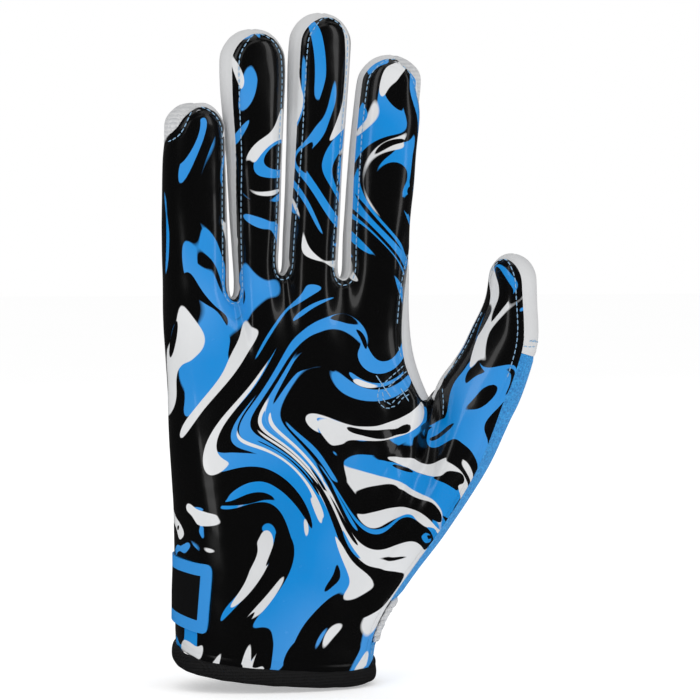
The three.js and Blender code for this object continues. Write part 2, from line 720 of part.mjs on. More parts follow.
const glove = new THREE.Group();
const skin = buildSkin();
applyRelief(skin);
const skinNormals = skin.normals();
const PANELS = [
  { name: 'palm_panel', wall: GRIP_WALL, colour: COLOURS.grip },
  { name: 'back_panel', wall: BACK_WALL, colour: COLOURS.white },
  ...FOURCHETTES.map((name) => ({ name, wall: STRIP_WALL, colour: COLOURS.white })),
  { name: 'thumb_back', wall: BACK_WALL, colour: COLOURS.white },
  { name: 'thumb_side_strip', wall: STRIP_WALL, colour: COLOURS.stretch },
  { name: 'cuff_back', wall: STRIP_WALL, colour: COLOURS.stretch },
];
for (const { name, wall, colour } of PANELS) {
  const loops = skin.cells.filter((cell) => cell.panel === name).map((cell) => cell.loop);
  glove.add(mesh(name, panelGeometry(skin.points, skinNormals, loops, wall), colour));
}
glove.add(mesh('wrist_elastic', elasticGeometry(), COLOURS.white));
glove.add(mesh('cuff_binding', bindingGeometry(), COLOURS.binding));
glove.add(mesh('wrist_label', labelGeometry(), COLOURS.binding));

export default glove;
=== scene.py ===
"""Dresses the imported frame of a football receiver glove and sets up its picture.

Lengths are metres. +Z runs up the fingers, the palm faces -Y and the thumb lies at +X.
Each sewn panel is made from the outer sheet of its own solid: smoothed, folded and walled anew.
"""
import json
import math

import bmesh
import bpy
from mathutils import Matrix, Vector, noise
from mathutils.bvhtree import BVHTree
from mathutils.kdtree import KDTree


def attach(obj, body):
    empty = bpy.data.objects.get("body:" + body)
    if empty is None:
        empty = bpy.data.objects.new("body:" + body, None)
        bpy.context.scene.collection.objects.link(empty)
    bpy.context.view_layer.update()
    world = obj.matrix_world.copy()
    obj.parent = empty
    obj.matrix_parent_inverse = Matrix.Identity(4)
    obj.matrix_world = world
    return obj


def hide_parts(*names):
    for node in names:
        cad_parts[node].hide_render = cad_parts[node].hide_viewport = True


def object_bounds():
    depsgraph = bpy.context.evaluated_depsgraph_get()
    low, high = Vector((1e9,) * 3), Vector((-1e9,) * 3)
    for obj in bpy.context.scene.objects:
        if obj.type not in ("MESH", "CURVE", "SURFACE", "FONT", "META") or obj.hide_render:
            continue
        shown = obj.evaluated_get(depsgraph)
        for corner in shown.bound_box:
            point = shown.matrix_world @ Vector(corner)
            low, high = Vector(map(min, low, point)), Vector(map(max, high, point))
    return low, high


bl_info = {
    "name": "Receiver glove dressing",
    "version": (1, 0, 0),
    "blender": (4, 5, 0),
    "location": "View3D > Sidebar > Glove",
    "description": "Makes the panels, stitching, cuff and stage of a receiver glove",
    "category": "Object",
}

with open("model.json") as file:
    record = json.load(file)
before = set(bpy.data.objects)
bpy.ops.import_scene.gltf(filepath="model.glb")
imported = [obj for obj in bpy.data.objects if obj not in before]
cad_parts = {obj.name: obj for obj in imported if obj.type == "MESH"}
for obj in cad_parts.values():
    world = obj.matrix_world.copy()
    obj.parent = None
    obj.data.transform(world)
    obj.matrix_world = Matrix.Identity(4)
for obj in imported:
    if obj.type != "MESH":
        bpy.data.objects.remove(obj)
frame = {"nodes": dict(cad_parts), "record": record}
CAD_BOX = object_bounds()

MM = 0.001
HOLLOWS = [opening["box_m"] for opening in frame["record"]["physics"]["openings"]]

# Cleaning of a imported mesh: how near corners are merged, and how even a pair of triangles is
MERGE_REACH = 0.004 * MM
PAIR_FLATNESS = math.radians(40)
PAIR_SQUARENESS = math.radians(60)

# A panel's outer sheet, as cosines between faces and towards the hand's hollow
SHARP_COSINE = math.cos(math.radians(62))
GROWTH_COSINE = math.cos(math.radians(48))
GROWTH_PASSES = 3
FACING_COSINE = -0.5
PROBE_START = 0.4
GROUP_OUTWARDNESS = 0.4
GROWTH_OUTWARDNESS = 0.1

# How far a cage's point may shift, as a share of its shortest edge, and how many times
CAGE_SHIFT = 0.3
CAGE_PASSES = 4

# Panels of the frame, and the walls of those that are thicker or thinner than a strip
GRIP_PANEL = "palm_panel"
STRIP_WALL = 1.1 * MM
CAD_WALLS = {
    "palm_panel": 1.4 * MM,
    "back_panel": 1.2 * MM,
    "thumb_back": 1.2 * MM,
    "wrist_label": 0.8 * MM,
}
LEATHER_PANELS = (
    "thumb_back",
    "fourchette_little_ring",
    "fourchette_ring_middle",
    "fourchette_middle_index",
    "fourchette_index_thumb",
)
STRETCH_PANELS = ("thumb_side_strip", "cuff_back")
LABEL_WALL = 0.7 * MM
SMOOTH_ANGLE = math.radians(48)

# Subdivision levels of a sheet, of the label and of a piece that keeps its whole solid
SHEET_LEVELS = 2
LABEL_LEVELS = 4
SOLID_LEVELS = 3

# Folds of the palm side in millimetres: place, half length, half width, rise and turn to the thumb
FOLDS = (
    (46, 98, 9, 1.5, 0.9, -28),
    (49.5, 96, 9, 1.3, 0.8, -14),
    (42, 95, 10, 1.6, 0.8, -42),
    (38, 90, 12, 2, 0.6, -56),
    (53.5, 93, 9, 1.4, 0.8, 4),
    (57.5, 91, 8, 1.6, 0.6, 18),
    (44, 82, 17, 2.4, 0.8, -16),
    (50, 78, 18, 2.6, 0.7, -4),
    (56, 75, 16, 2.6, 0.6, 10),
    (36, 78, 18, 3, 0.5, -30),
    (20, 52, 22, 4, 0.4, 8),
    (-8, 84, 26, 4, 0.4, -6),
    (8, 30, 16, 3.4, 0.5, 12),
    (-22, 48, 20, 3.6, 0.4, -4),
    (30, 30, 14, 3, 0.5, -24),
)
FOLD_REACH = 2.5

# Slack waves of the cloth: count per metre along X, Y and Z, shift, and share of the height
SLACK_WAVES = (
    ((38, 50, 26), 0, 1.1),
    ((120, 120, 90), 7, 0.45),
)

# Round openings at the finger crotches in millimetres: place and radius
CROTCH_HOLES = (
    (-15.5, 134.6, 1.7),
    (2.2, 143.4, 1.9),
    (23.6, 141.5, 2.7),
)
HOLE_REACH = 2.2
HOLE_PUSH = 0.6
PALM_SIDE = -0.1

# Swirls of the print in millimetres: place across and up, reach and turn in degrees
SWIRLS = (
    (-16, 62, 24, 110),
    (28, 112, 27, -150),
    (36, 52, 25, 120),
    (-6, 168, 15, 90),
    (44, 176, 16, -120),
    (82, 112, 14, 110),
)

# Slow bends of the print: noise cells per metre, and reach in metres across and up
BENDS = ((13, 0.055, 0.088), (34, 0.011, 0.0176))

# Streaks of the print in paint order: ink, count per metre across and up, place and threshold
STREAKS = (
    ("Bright", 46, 8, 0, 0.603),
    ("Pale", 46, 8, 0.25, 0.69),
    ("Dark", 80, 10, 5.3, 0.575),
    ("Bright", 120, 12, 47.9, 0.622),
    ("Pale", 112, 14, 12.6, 0.672),
    ("Dark", 170, 26, 233.7, 0.7),
)

# Half the noise step over which one ink runs into the next
INK_EDGE = 0.004

# Knits: second tone, which the knit takes as painted shade in its grooves and in random flecks, wales and
# courses in radians per metre, and how mottled they are
KNITS = {
    "back_knit": ((0.52, 0.53, 0.55, 1), 5600, 4600, 0),
    "shirred_knit": ((0.54, 0.55, 0.57, 1), 5200, 4200, 0),
    "stretch_knit": ((0.012, 0.2, 0.56, 1), 12600, 11000, 2.4),
}

# Lines of thread at the thumb crotch and on the thumb, as points in the photograph's pixels
THREAD_PATHS = {
    "palm_panel_cloth": (
        ((380, 387), (393, 375), (403.5, 365.5)),
        ((383.5, 391.5), (396, 380), (407, 370.5)),
        ((398.5, 346), (402, 360)),
        ((380, 387), (377.5, 394), (378.5, 401.5), (383, 407.5), (390, 408.5), (397, 404.5)),
        ((383.5, 391.5), (382, 397), (385.5, 403), (391.5, 403.5)),
        ((397, 404.5), (403, 397.5), (411, 393.5)),
        ((391.5, 403.5), (399, 396), (408, 389.5)),
        ((442.5, 388), (443.5, 402), (443, 416)),
    ),
    "thumb_back_cloth": (
        ((523, 340), (529, 341), (535, 340.5)),
        ((523, 346), (529, 347), (534.5, 346.5)),
    ),
}
BAR_TACKS = (((376.5, 376), (390, 396)), ((401, 389), (408, 400)))

# Rows of thread: step, fewest points, softening passes, and pitch share of a bar tack
ROW_STEP = 0.4 * MM
ROW_LEAST = 4
SEAM_EASING = 3
CROTCH_EASING = 6
TACK_SPREAD = 0.45

# One stitch: sides and rings, half height and seat above the cloth as shares of its thickness
STITCH_SIDES = 8
STITCH_RINGS = 6
STITCH_HEIGHT = 0.42
STITCH_SEAT = 0.12

# Where seams are stitched, in millimetres
FINGER_FOOT = 121
THUMB_FOOT = 101
THUMB_SIDE = 60
BACK_FOOT = 22
ELASTIC_TOP = 40

# The slanting cuts of the wrist: rise along X and Y, where the elastic begins, and its ribs
WRIST_SLANT = (6 / 72, -8 / 45)
ELASTIC_FOOT = 13.9 * MM
RIB_PITCH = 2.8 * MM
CUFF_STITCH_FOOT = 10 * MM

# Gathers of the elastic: drift round the wrist and over the ribs, its size, and each rib's shift
GATHER_DRIFT = (3, 5.3)
GATHER_SWAY = 2.4
RIB_SHIFT = 1.9
WRIST_FLATNESS = 2.2

# Where a stepped rim is eased, in millimetres: left, right, low, high, and passes
EASED_SEAMS = (
    (44, 66, 117, 222, 14),
    (-45, -27, 117, 205, 2),
)
JUNCTION_REACH = 0.9 * MM

# The binding in millimetres: its waves, and the tucks where its ends are turned in
TAPE_WAVES = 210
TAPE_WAVE_RISE = 0.22
TUCKS = ((36.6, 2, 1.6), (-36.4, -3, 7.2))
TUCK_REACH = 2.4
TUCK_RISE = 1.1

# The camera: what it circles, what it looks at, and its picture
CAMERA_CENTRE = (0.010, 0, 0.115)
CAMERA_AIM = (0.0267, -0.0036, 0.1128)
FRAME_PIXELS = 700
SENSOR = 36

# The floor, and the soft boxes in metres and watts: place, size and power
FLOOR_SIZE = 14
FLOOR_GAP = 0.6 * MM
FLOOR_SPECK = 0.985
LAMP_AIM = (0.02, 0, 0.11)
LAMPS = (
    ("left_box", (-0.9, -1.1, 0.75), (0.35, 1.3), 1.9),
    ("right_box", (1.1, -0.8, 0.6), (0.3, 1.2), 1.5),
    ("top_box", (0, -0.5, 1.5), (1.2, 0.8), 2.4),
    ("rear_box", (0, 1.3, 1.2), (1.6, 1), 3),
)

NUMBER = "NodeSocketFloat"
COLOUR = "NodeSocketColor"

seam_lines = {}


# Settings


def number_setting(name, description, default, **values):
    return bpy.props.FloatProperty(name=name, description=description, default=default, **values)


def length_setting(name, description, default):
    return number_setting(name, description, default, unit="LENGTH")


def angle_setting(name, description, degrees):
    return number_setting(name, description, math.radians(degrees), subtype="ANGLE")


def colour_setting(name, description, red, green, blue):
    return bpy.props.FloatVectorProperty(
        name=name, description=description, subtype="COLOR", size=4,
        min=0, max=1, default=(red, green, blue, 1),
    )


class PrintSettings(bpy.types.PropertyGroup):
    """Inks and finish of the marbled grip film."""

    dark: colour_setting("Dark ink", "Darkest ink of the print", 0.0012, 0.0012, 0.0014)
    bright: colour_setting("Blue ink", "Bright ink of the print", 0.016, 0.28, 0.74)
    pale: colour_setting("White ink", "Palest ink of the print", 0.75, 0.76, 0.77)
    fineness: number_setting("Fineness", "How fine the streaks of the print are", 1.0)


class SheetSettings(bpy.types.PropertyGroup):
    """Walls, seams and softness of the panels."""

    grip_wall: length_setting("Grip wall", "Thickness of the printed palm sheet", 1.3 * MM)
    cloth_wall: length_setting("Cloth wall", "Thickness of the other panels", 1.0 * MM)
    seam_reach: length_setting("Seam reach", "How far a panel's rim is let out", 0.17 * MM)
    seam_sink: length_setting("Seam sink", "How deep a panel's rim turns down", 0.35 * MM)
    softness: length_setting("Softness", "Height of the slack waves of the panels", 0.3 * MM)
    white: colour_setting("White", "Colour of the leather and knit", 0.72, 0.725, 0.73)
    stretch: colour_setting("Stretch blue", "Colour of the stretch knit", 0.036, 0.39, 0.87)


class StitchSettings(bpy.types.PropertyGroup):
    """Rows of thread."""

    inset: length_setting("Inset", "Distance of a row from the palm sheet's edge", 2.6 * MM)
    back_inset: length_setting("Back inset", "Distance of a row from another panel's edge", 1.7 * MM)
    pitch: length_setting("Pitch", "Distance from one stitch to the next", 2.15 * MM)
    length: length_setting("Stitch length", "Length of thread that shows in one stitch", 1.75 * MM)
    thickness: length_setting("Thread thickness", "Width of the thread", 0.42 * MM)
    thread: colour_setting("Thread blue", "Colour of the thread on the print", 0.36, 0.62, 0.9)


class CuffSettings(bpy.types.PropertyGroup):
    """Elastic, binding and label."""

    pucker: length_setting("Pucker", "Height of the gathers of the elastic", 0.55 * MM)
    pucker_count: bpy.props.IntProperty(name="Puckers", description="Gathers round the wrist", default=84)
    fullness: length_setting("Fullness", "How far the gathered elastic stands out", 1.0 * MM)
    overlap: length_setting("Overlap", "How far the binding is folded up", 0.9 * MM)
    label_frame: length_setting("Label frame", "Width of the label's blue frame", 4.2 * MM)
    binding: colour_setting("Binding black", "Colour of the binding", 0.002, 0.002, 0.0025)


class StageSettings(bpy.types.PropertyGroup):
    """Camera, floor and lights."""

    azimuth: angle_setting("Azimuth", "Way round the glove that the camera stands", -12)
    elevation: angle_setting("Elevation", "Height of the camera as an angle", 2)
    distance: length_setting("Distance", "Distance of the camera", 1.1)
    lens: number_setting("Lens", "Focal length in millimetres on a 36 mm sensor", 159.8)
    air: number_setting("Air light", "Strength of the soft light from all round", 0.66)
    flag: number_setting("Dark flags", "How much air light is kept out of reflections", 0.62)
    floor: colour_setting("Floor colour", "Colour of the floor", 0.97, 0.97, 0.97)


def settings(name):
    return getattr(bpy.context.scene, "glove_" + name)


# Meshes


def make_active(piece):
    bpy.ops.object.select_all(action="DESELECT")
    piece.select_set(True)
    bpy.context.view_layer.objects.active = piece


def new_piece(mesh):
    """A new object for a mesh, in the scene and active."""
    piece = bpy.data.objects.new(mesh.name, mesh)
    bpy.context.scene.collection.objects.link(piece)
    make_active(piece)
    return piece


def merged_copy(node):
    """A new object with a node's shape, its corners merged and its triangles paired."""
    mesh = frame["nodes"][node].data.copy()
    mesh.name = node + "_cloth"
    mesh.materials.clear()
    piece = new_piece(mesh)
    bpy.ops.mesh.customdata_custom_splitnormals_clear()
    bpy.ops.object.mode_set(mode="EDIT")
    bpy.ops.mesh.select_all(action="SELECT")
    bpy.ops.mesh.remove_doubles(threshold=MERGE_REACH)
    bpy.ops.mesh.tris_convert_to_quads(face_threshold=PAIR_FLATNESS, shape_threshold=PAIR_SQUARENESS)
    bpy.ops.object.mode_set(mode="OBJECT")
    return piece


def reshape(piece, change, *values):
    """Runs a function over a piece's mesh, with its normals up to date, and writes it back."""
    bm = bmesh.new()
    bm.from_mesh(piece.data)
    bm.normal_update()
    change(bm, *values)
    bm.to_mesh(piece.data)
    bm.free()


def move_points(bm, shift_of):
    """Moves all points at once, each by the shift that a function gives for it."""
    shifts = [shift_of(vertex) for vertex in bm.verts]
    for vertex, shift in zip(bm.verts, shifts):
        vertex.co += shift


def hollow_near(place):
    """The nearest place inside the hand's hollow."""
    near = [Vector([min(max(place[i], low[i]), high[i]) for i in range(3)]) for low, high in HOLLOWS]
    return min(near, key=lambda spot: (spot - place).length)


def joined_faces(faces):
    """Splits a set of faces into the groups that hang together without a sharp edge between them."""
    left = set(faces)
    groups = []
    while left:
        group = {left.pop()}
        waiting = list(group)
        while waiting:
            face = waiting.pop()
            for edge in face.edges:
                for other in edge.link_faces:
                    if other in left and other.normal.dot(face.normal) > SHARP_COSINE:
                        left.discard(other)
                        group.add(other)
                        waiting.append(other)
        groups.append(group)
    return groups


def outwardness(face):
    """How squarely a face looks away from the hand's hollow, from -1 to 1."""
    middle = face.calc_center_median()
    return face.normal.dot((middle - hollow_near(middle)).normalized())


def keep_outer_sheet(bm, wall):
    """Takes the inner sheet and the rim off a panel."""
    tree = BVHTree.FromBMesh(bm)
    sheets = []
    for face in bm.faces:
        start = face.calc_center_median() - face.normal * wall * PROBE_START
        _, normal, _, distance = tree.ray_cast(start, -face.normal, wall)
        if distance is not None and normal.dot(face.normal) < FACING_COSINE:
            sheets.append(face)

    def outward(group):
        total = sum(face.calc_area() * outwardness(face) for face in group)
        return total / sum(face.calc_area() for face in group)

    groups = joined_faces(sheets)
    kept = set().union(*[group for group in groups if outward(group) > GROUP_OUTWARDNESS])
    for _ in range(GROWTH_PASSES):
        kept |= {
            other for face in kept for edge in face.edges for other in edge.link_faces
            if other.normal.dot(face.normal) > GROWTH_COSINE
            and outwardness(other) > GROWTH_OUTWARDNESS
        }
    gone = [face for face in bm.faces if face not in kept]
    if not kept or not gone:
        raise RuntimeError("a panel has no outer sheet to keep")
    bmesh.ops.delete(bm, geom=gone, context="FACES")


def search_tree(places):
    tree = KDTree(len(places))
    for i, place in enumerate(places):
        tree.insert(place, i)
    tree.balance()
    return tree


def panel_corners():
    """A search tree over the corners of all panels, and each corner's panel number."""
    places, numbers = [], []
    for number, node in enumerate(frame["nodes"].values()):
        places += [vertex.co for vertex in node.data.vertices]
        numbers += [number] * len(node.data.vertices)
    return search_tree(places), numbers


def whole_surface():
    """One search tree over the surfaces of all panels."""
    points, faces = [], []
    for node in frame["nodes"].values():
        start = len(points)
        points += [vertex.co.copy() for vertex in node.data.vertices]
        faces += [[start + i for i in polygon.vertices] for polygon in node.data.polygons]
    return BVHTree.FromPolygons(points, faces)


def rim_neighbours(vertex):
    return [edge.other_vert(vertex).co for edge in vertex.link_edges if edge.is_boundary]


def ease_seams(bm):
    """Turns the steps of a rim at the index and little finger into slanting lines."""
    near, numbers = panel_corners()
    surface = whole_surface()

    def can_move(vertex):
        """Places where three or more panels meet stay as they are."""
        found = near.find_range(vertex.co, JUNCTION_REACH)
        return vertex.is_boundary and len({numbers[index] for _, index, _ in found}) < 3

    for left, right, low, high, passes in EASED_SEAMS:
        moving = [
            v for v in bm.verts
            if left < v.co.x / MM < right and low < v.co.z / MM < high and can_move(v)
        ]
        for _ in range(passes):
            places = {}
            for vertex in moving:
                ends = rim_neighbours(vertex)
                if len(ends) == 2:
                    places[vertex] = (vertex.co * 2 + ends[0] + ends[1]) / 4
            for vertex, place in places.items():
                vertex.co = surface.find_nearest(place)[0]


def edge_inward(edge):
    """The way from a rim edge into its sheet."""
    face = edge.link_faces[0]
    along = (edge.verts[1].co - edge.verts[0].co).normalized()
    inward = face.normal.cross(along).normalized()
    middle = (edge.verts[0].co + edge.verts[1].co) / 2
    return inward if inward.dot(face.calc_center_median() - middle) > 0 else -inward


def rim_inward(vertex):
    """The way from a rim vertex into its sheet, and no way at all for any other vertex."""
    ways = [edge_inward(edge) for edge in vertex.link_edges if edge.is_boundary]
    return sum(ways, Vector((0, 0, 0))).normalized()


def settled_place(vertex):
    """Where a smoothed sheet comes to lie at a corner of its cage, by the usual subdivision rule."""
    if vertex.is_boundary:
        ends = rim_neighbours(vertex)
        if len(ends) != 2 or len(vertex.link_faces) == 1:
            return vertex.co.copy()
        return (vertex.co * 4 + ends[0] + ends[1]) / 6
    count = len(vertex.link_edges)
    total = vertex.co * count * count
    for edge in vertex.link_edges:
        total += edge.other_vert(vertex).co * 4
    for face in vertex.link_faces:
        corners = list(face.verts)
        if len(corners) == 4:
            total += corners[(corners.index(vertex) + 2) % 4].co
        else:
            total += face.calc_center_median()
    return total / (count * (count + 5))


def hold_shape(bm):
    """Moves a cage so that its smoothed sheet passes through the places it had."""
    wanted = {vertex: vertex.co.copy() for vertex in bm.verts}
    most = {v: CAGE_SHIFT * min(edge.calc_length() for edge in v.link_edges) for v in bm.verts}
    for _ in range(CAGE_PASSES):
        shifts = {vertex: wanted[vertex] - settled_place(vertex) for vertex in bm.verts}
        for vertex, shift in shifts.items():
            moved = vertex.co + shift - wanted[vertex]
            if moved.length > most[vertex]:
                moved *= most[vertex] / moved.length
            vertex.co = wanted[vertex] + moved


def make_cage(bm, wall):
    """Leaves of a panel its outer sheet, let out at the rim and ready for smoothing."""
    keep_outer_sheet(bm, wall)
    ease_seams(bm)
    reach = settings("sheets").seam_reach
    move_points(bm, lambda vertex: -rim_inward(vertex) * reach)
    hold_shape(bm)


def apply_modifier(piece, kind, **values):
    make_active(piece)
    modifier = piece.modifiers.new(kind.title(), kind)
    for key, value in values.items():
        setattr(modifier, key, value)
    bpy.ops.object.modifier_apply(modifier=modifier.name)


def smooth_piece(piece, levels, corners="PRESERVE_CORNERS"):
    apply_modifier(piece, "SUBSURF", levels=levels, render_levels=levels, boundary_smooth=corners)


def fold_rise(place):
    """Height of the folds of the palm side at a place."""
    x, z = place.x / MM, place.z / MM
    total = 0
    for across, up, long, wide, rise, turn in FOLDS:
        angle = math.radians(turn)
        along = ((x - across) * math.sin(angle) + (z - up) * math.cos(angle)) / long
        aside = ((x - across) * math.cos(angle) - (z - up) * math.sin(angle)) / wide
        if abs(along) < FOLD_REACH and abs(aside) < FOLD_REACH:
            total += rise * math.exp(-(along**2) - aside**2)
    return total * MM


def slack_rise(place):
    """Height of the slack waves of soft sheet at a place."""
    total = 0
    for (across, deep, up), shift, height in SLACK_WAVES:
        spot = Vector((place.x * across + shift, place.y * deep, place.z * up))
        total += noise.noise(spot) * height
    return settings("sheets").softness * total


def crotch_shift(vertex):
    """How far a point of the palm sheet draws back round the openings between the fingers."""
    total = Vector((0, 0, 0))
    if vertex.normal.y > PALM_SIDE:
        return total
    for across, up, radius in CROTCH_HOLES:
        away = Vector((vertex.co.x - across * MM, 0, vertex.co.z - up * MM))
        if away.length:
            reach = away.length / (radius * MM)
            grown = max(reach, 1 + reach / HOLE_REACH * HOLE_PUSH)
            total += away * (grown / reach - 1)
    return total


def soft_shift(vertex, sink):
    """How far a point of a sheet moves for its folds, its slack waves and its turned-down rim."""
    front = max(0.0, -vertex.normal.y)
    rise = fold_rise(vertex.co) * front * front + slack_rise(vertex.co)
    if vertex.is_boundary:
        rise -= sink
    return vertex.normal * rise


def rim_loops(bm):
    """The rims of a sheet as rows of vertices, in order and the same at each run."""
    left = dict.fromkeys(edge for edge in bm.edges if edge.is_boundary)
    loops = []
    while left:
        edge = next(iter(left))
        del left[edge]
        loop = [edge.verts[0], edge.verts[1]]
        while loop[-1] is not loop[0]:
            following = [e for e in loop[-1].link_edges if e in left]
            if not following:
                break
            del left[following[0]]
            loop.append(following[0].other_vert(loop[-1]))
        loops.append(loop[:-1] if loop[-1] is loop[0] else loop)
    return loops


def keep_seam_lines(piece):
    """Stores the rims of a finished sheet for the stitching, and its points' distance from them."""
    bm = bmesh.new()
    bm.from_mesh(piece.data)
    bm.normal_update()
    lines = []
    rim = []
    for loop in rim_loops(bm):
        lines.append([(v.co.copy(), v.normal.copy(), rim_inward(v)) for v in loop])
        for start, end in zip(loop, loop[1:] + loop[:1]):
            steps = max(1, int((end.co - start.co).length / ROW_STEP))
            rim += [start.co.lerp(end.co, i / steps) for i in range(steps)]
    seam_lines[piece.name] = (lines, BVHTree.FromBMesh(bm))
    near = search_tree(rim)
    distances = [near.find(vertex.co)[2] / MM for vertex in bm.verts]
    bm.free()
    attribute = piece.data.attributes.new("seam_distance", "FLOAT", "POINT")
    attribute.data.foreach_set("value", distances)


def place_on_frame(piece, slot, *nodes):
    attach(piece, "root")
    if nodes:
        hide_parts(*nodes)


def make_panel(node, slot, material, wall, levels=SHEET_LEVELS, corners="PRESERVE_CORNERS", sink=None):
    """A sewn panel from the outer sheet of its node, with its folds, wall and lining."""
    piece = merged_copy(node)
    reshape(piece, make_cage, CAD_WALLS.get(node, STRIP_WALL))
    smooth_piece(piece, levels, corners)
    if node == GRIP_PANEL:
        reshape(piece, move_points, crotch_shift)
    depth = settings("sheets").seam_sink if sink is None else sink
    reshape(piece, move_points, lambda vertex: soft_shift(vertex, depth))
    keep_seam_lines(piece)
    piece.data.materials.append(material)
    piece.data.materials.append(shared_material("brushed_lining", paint_lining))
    apply_modifier(
        piece, "SOLIDIFY", thickness=wall, offset=-1, use_even_offset=False,
        use_rim=True, material_offset=1, material_offset_rim=0,
    )
    bpy.ops.object.shade_smooth_by_angle(angle=SMOOTH_ANGLE)
    place_on_frame(piece, slot, node)


def make_solid_piece(node, slot, material, shift_of):
    """A piece from the whole solid of its node, its points moved as a function says."""
    piece = merged_copy(node)
    smooth_piece(piece, SOLID_LEVELS)
    reshape(piece, move_points, shift_of)
    piece.data.materials.append(material)
    bpy.ops.object.shade_smooth()
    place_on_frame(piece, slot, node)


def wrist_height(place):
    """Height of a place above the slanting line in which the cuff's panels are cut."""
    return place.z + place.x * WRIST_SLANT[0] + place.y * WRIST_SLANT[1]


def elastic_shift(vertex):
    """Gathers the ribs of the elastic into short puckers round the wrist."""
    values = settings("cuff")
    angle = math.atan2(vertex.co.y, vertex.co.x)
    rib = math.floor((wrist_height(vertex.co) - ELASTIC_FOOT) / RIB_PITCH)
    spot = Vector((angle * GATHER_DRIFT[0], rib * GATHER_DRIFT[1], 0))
    shift = noise.noise(spot) * GATHER_SWAY + rib * RIB_SHIFT
    gather = math.sin(angle * values.pucker_count + shift)
    away = Vector((vertex.co.x, vertex.co.y * WRIST_FLATNESS, 0)).normalized()
    outward = max(0.0, vertex.normal.dot(away))
    return vertex.normal * outward * (values.fullness + gather * values.pucker)


def binding_shift(vertex):
    """Folds the binding up over the panels, with slight waves and the tucks of its ends."""
    rise = noise.noise(vertex.co * TAPE_WAVES) * TAPE_WAVE_RISE * MM
    for tuck in TUCKS:
        away = (vertex.co - Vector(tuck) * MM).length / (TUCK_REACH * MM)
        rise += math.exp(-(away**2)) * TUCK_RISE * MM
    shift = vertex.normal * rise
    if vertex.normal.z > 0:
        shift += Vector((0, 0, vertex.normal.z * settings("cuff").overlap))
    return shift


# Materials


def set_inputs(tree, node, values):
    """Sets a node's inputs, or joins them to the sockets given."""
    for key, value in values.items():
        if isinstance(value, bpy.types.NodeSocket):
            tree.links.new(value, node.inputs[key])
        else:
            node.inputs[key].default_value = value


def add_node(tree, kind, inputs=None, **values):
    """Adds a node, with its settings given and its inputs set or joined."""
    node = tree.nodes.new(kind)
    for key, value in values.items():
        setattr(node, key, value)
    set_inputs(tree, node, inputs or {})
    return node


def maths(tree, operation, *values):
    return add_node(tree, "ShaderNodeMath", dict(enumerate(values)), operation=operation).outputs[0]


def sloped(tree, value, slope, base):
    """A value times a slope, plus a base."""
    return maths(tree, "ADD", maths(tree, "MULTIPLY", value, slope), base)


def bell(tree, value):
    """The bell curve of a value, which is 1 at zero and falls off to both sides."""
    return maths(tree, "EXPONENT", maths(tree, "MULTIPLY", maths(tree, "MULTIPLY", value, value), -1))


def ramp(tree, value, low, high, foot=0, kind="LINEAR"):
    """Climbs from foot to 1 while a value goes from low to high."""
    inputs = {"Value": value, "From Min": low, "From Max": high, "To Min": foot}
    return add_node(tree, "ShaderNodeMapRange", inputs, interpolation_type=kind).outputs[0]


def mixed(tree, share, first, second):
    """A colour that goes from the first to the second as the share goes from 0 to 1."""
    inputs = {0: share, 6: first, 7: second}
    return add_node(tree, "ShaderNodeMix", inputs, data_type="RGBA").outputs[2]


def vectors(tree, operation, *values, out=0):
    inputs = dict(enumerate(values))
    return add_node(tree, "ShaderNodeVectorMath", inputs, operation=operation).outputs[out]


def scaled(tree, vector, factor):
    inputs = {0: vector, "Scale": factor}
    return add_node(tree, "ShaderNodeVectorMath", inputs, operation="SCALE").outputs[0]


def object_place(tree):
    return add_node(tree, "ShaderNodeTexCoord").outputs["Object"]


def seam_distance(tree):
    return add_node(tree, "ShaderNodeAttribute", attribute_name="seam_distance").outputs["Fac"]


def soft_noise(tree, place, scale, detail=0, out="Fac"):
    inputs = {"Vector": place, "Scale": scale, "Detail": detail}
    return add_node(tree, "ShaderNodeTexNoise", inputs).outputs[out]


def drifted(tree, place, scale, reach):
    """A place shifted by slow noise, so that straight lines bend."""
    drift = vectors(tree, "SUBTRACT", soft_noise(tree, place, scale, out="Color"), (0.5, 0.5, 0.5))
    return vectors(tree, "ADD", place, vectors(tree, "MULTIPLY", drift, reach))


def wire_print(tree, given):
    """Streams and swirls of three inks that run into each other."""
    place = object_place(tree)
    for across, up, reach, turn in SWIRLS:
        centre = (across * MM, 0, up * MM)
        flat = vectors(tree, "MULTIPLY", place, (1, 0, 1))
        share = maths(tree, "DIVIDE", vectors(tree, "DISTANCE", flat, centre, out=1), reach * MM)
        angle = maths(tree, "MULTIPLY", bell(tree, share), math.radians(turn))
        inputs = {"Vector": place, "Center": centre, "Angle": angle}
        place = add_node(tree, "ShaderNodeVectorRotate", inputs, rotation_type="Y_AXIS").outputs[0]
    for scale, across, up in BENDS:
        place = drifted(tree, place, scale, (across, across, up))
    place = scaled(tree, place, given["Fineness"])
    colour = given["Dark"]
    for ink, across, up, shift, least in STREAKS:
        long = vectors(tree, "MULTIPLY", place, (across, across, up))
        moved = vectors(tree, "ADD", long, (shift, 0, 0))
        over = ramp(tree, soft_noise(tree, moved, scale=1), least - INK_EDGE, least + INK_EDGE)
        colour = mixed(tree, over, colour, given[ink])
    return {"Color": colour}


def wire_seam(tree, given):
    """Height of the stitch groove and of the welt beside a seam."""
    distance = seam_distance(tree)
    offset = maths(tree, "DIVIDE", maths(tree, "SUBTRACT", distance, given["Inset"]), given["Width"])
    welt = ramp(tree, distance, given["Inset"], 0, kind="SMOOTHSTEP")
    return {"Height": maths(tree, "SUBTRACT", maths(tree, "MULTIPLY", welt, 0.5), bell(tree, offset))}


